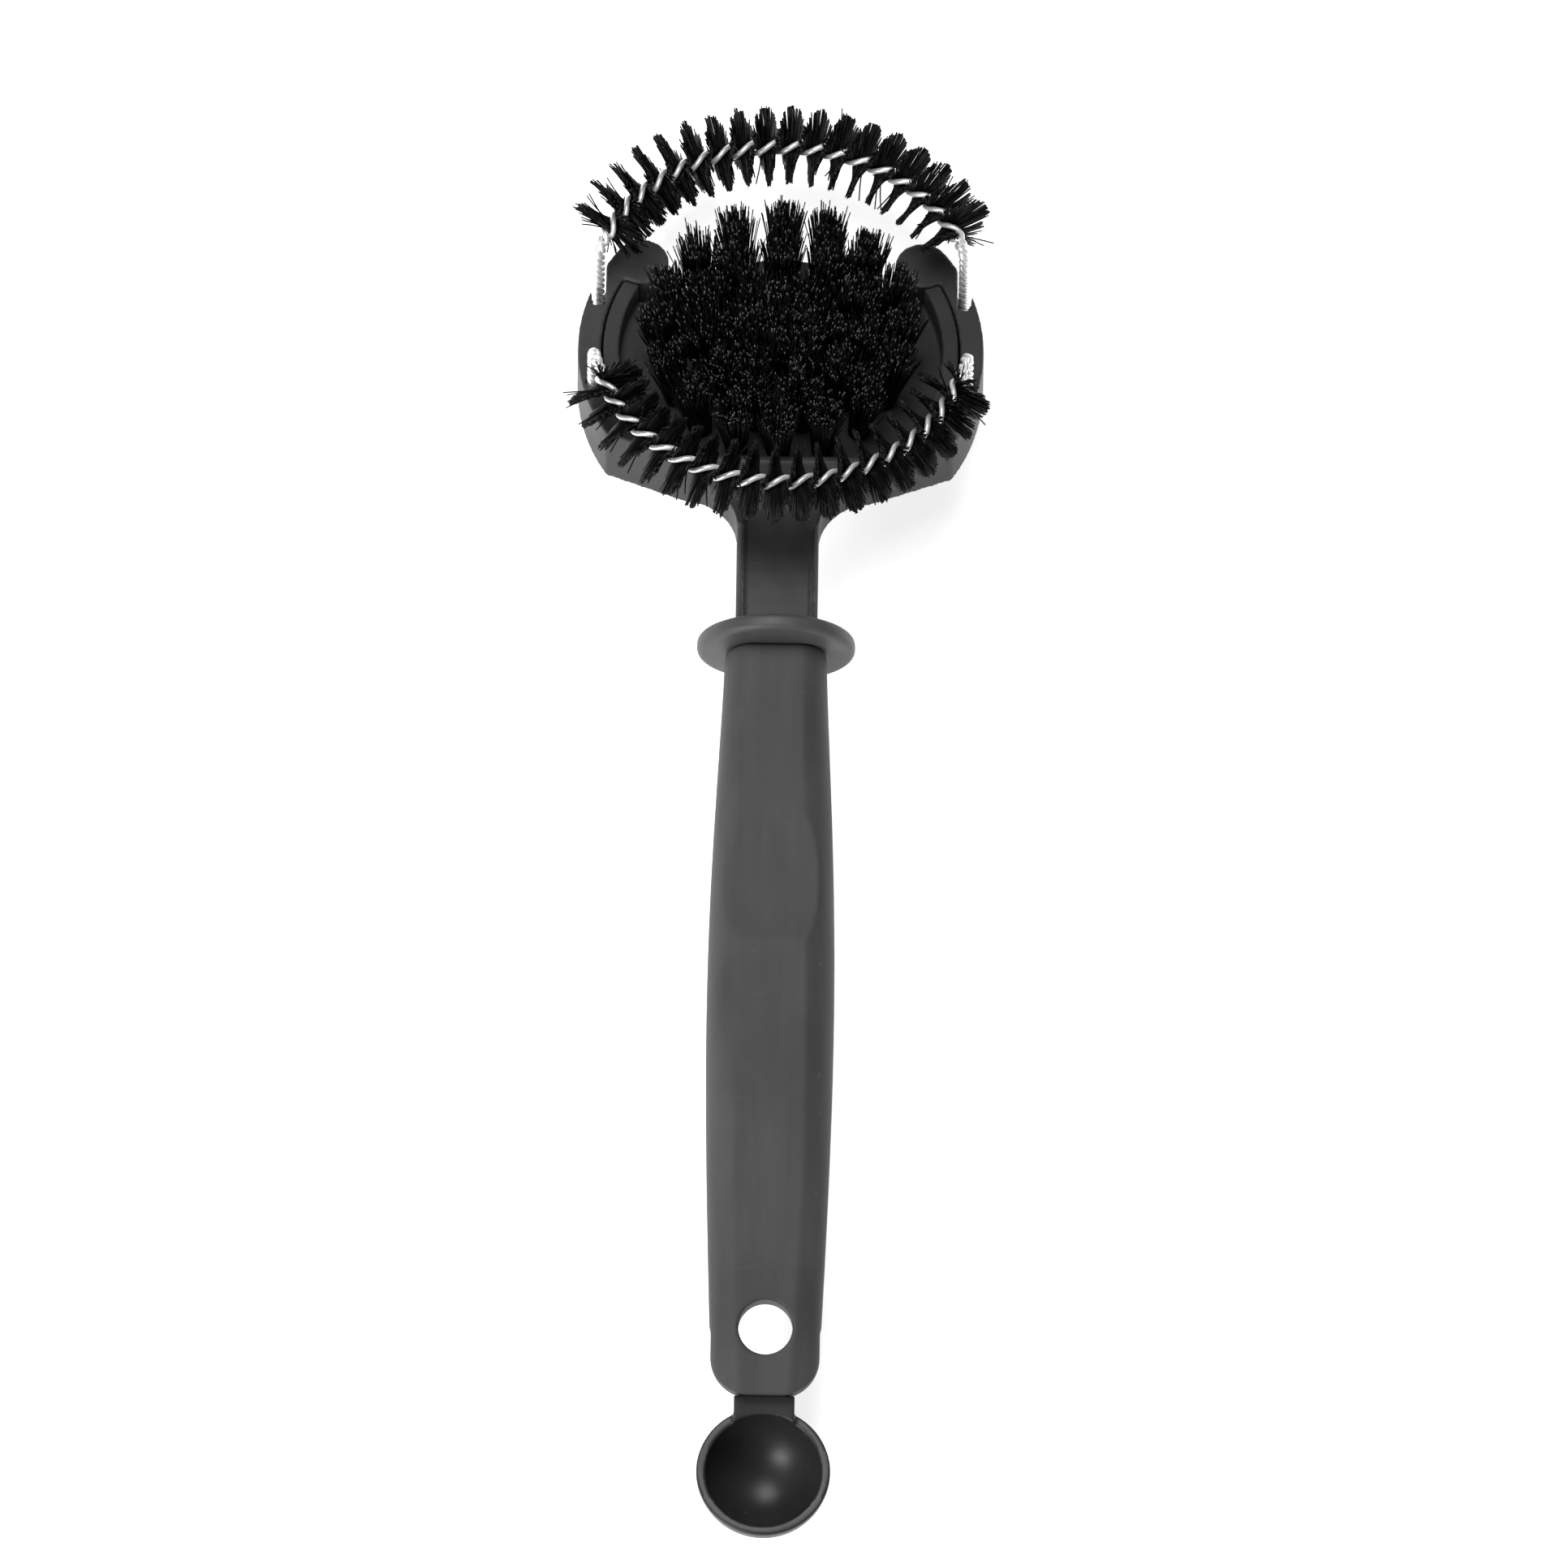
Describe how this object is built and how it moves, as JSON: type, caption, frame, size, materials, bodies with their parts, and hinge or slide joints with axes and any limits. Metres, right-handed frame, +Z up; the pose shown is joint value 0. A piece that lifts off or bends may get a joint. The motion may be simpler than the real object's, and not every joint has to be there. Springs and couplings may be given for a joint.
{
  "type": "group head cleaning brush",
  "caption": "Long-handled group-head cleaning brush: curved grip with hanging hole and measuring scoop, splash guard, and a cradle with a tufted round brush inside twisted-wire half rings.",
  "frame": {"origin": "centre of the hanging hole in the handle's tail", "axes": "+Y along the tool from the scoop end to the head, +Z up as the tool lies on a table with its bristles up, +X to the right; the tool rests on the bottom of the scoop and the ends of the cradle"},
  "size_m": [0.0746, 0.2563, 0.0466],
  "materials": {
    "grip_plastic": "satin moulded thermoplastic, dark grey",
    "head_nylon": "fine satin moulded nylon, black",
    "scoop_plastic": "smooth satin moulded plastic, black",
    "block_plastic": "satin moulded plastic, black",
    "guard_rubber": "soft satin rubber, charcoal",
    "steel_wire": "bright drawn stainless wire",
    "anchor_wire": "flat drawn wire",
    "ring_bristle": "heat-resistant nylon filament, black",
    "tuft_bristle": "heat-resistant nylon filament, black"
  },
  "bodies": {
    "root": {"anchors_centre": "anchor_wire", "anchors_inner": "anchor_wire", "anchors_middle": "anchor_wire", "anchors_outer": "anchor_wire", "brush_block": "block_plastic", "grip": "grip_plastic", "head_frame": "head_nylon", "scoop": "scoop_plastic", "splash_guard": "guard_rubber", "tuft_centre": "tuft_bristle", "tuft_inner_01": "tuft_bristle", "tuft_inner_02": "tuft_bristle", "tuft_inner_03": "tuft_bristle", "tuft_inner_04": "tuft_bristle", "tuft_inner_05": "tuft_bristle", "tuft_inner_06": "tuft_bristle", "tuft_middle_01": "tuft_bristle", "tuft_middle_02": "tuft_bristle", "tuft_middle_03": "tuft_bristle", "tuft_middle_04": "tuft_bristle", "tuft_middle_05": "tuft_bristle", "tuft_middle_06": "tuft_bristle", "tuft_middle_07": "tuft_bristle", "tuft_middle_08": "tuft_bristle", "tuft_middle_09": "tuft_bristle", "tuft_middle_10": "tuft_bristle", "tuft_middle_11": "tuft_bristle", "tuft_outer_01": "tuft_bristle", "tuft_outer_02": "tuft_bristle", "tuft_outer_03": "tuft_bristle", "tuft_outer_04": "tuft_bristle", "tuft_outer_05": "tuft_bristle", "tuft_outer_06": "tuft_bristle", "tuft_outer_07": "tuft_bristle", "tuft_outer_08": "tuft_bristle", "tuft_outer_09": "tuft_bristle", "tuft_outer_10": "tuft_bristle", "tuft_outer_11": "tuft_bristle", "tuft_outer_12": "tuft_bristle", "tuft_outer_13": "tuft_bristle", "tuft_outer_14": "tuft_bristle", "tuft_outer_15": "tuft_bristle", "tuft_outer_16": "tuft_bristle"},
    "upper_brush": {"upper_wire": "steel_wire", "upper_bristles": "ring_bristle"},
    "lower_brush": {"lower_wire": "steel_wire", "lower_bristles": "ring_bristle"}
  },
  "joints": [
    {"name": "upper_brush_pull", "type": "slide", "parent": "root", "child": "upper_brush", "axis": [0, 0.3037, 0.9528], "range_m": [0, 0.012]},
    {"name": "lower_brush_pull", "type": "slide", "parent": "root", "child": "lower_brush", "axis": [0, 0.3037, 0.9528], "range_m": [0, 0.009]}
  ]
}
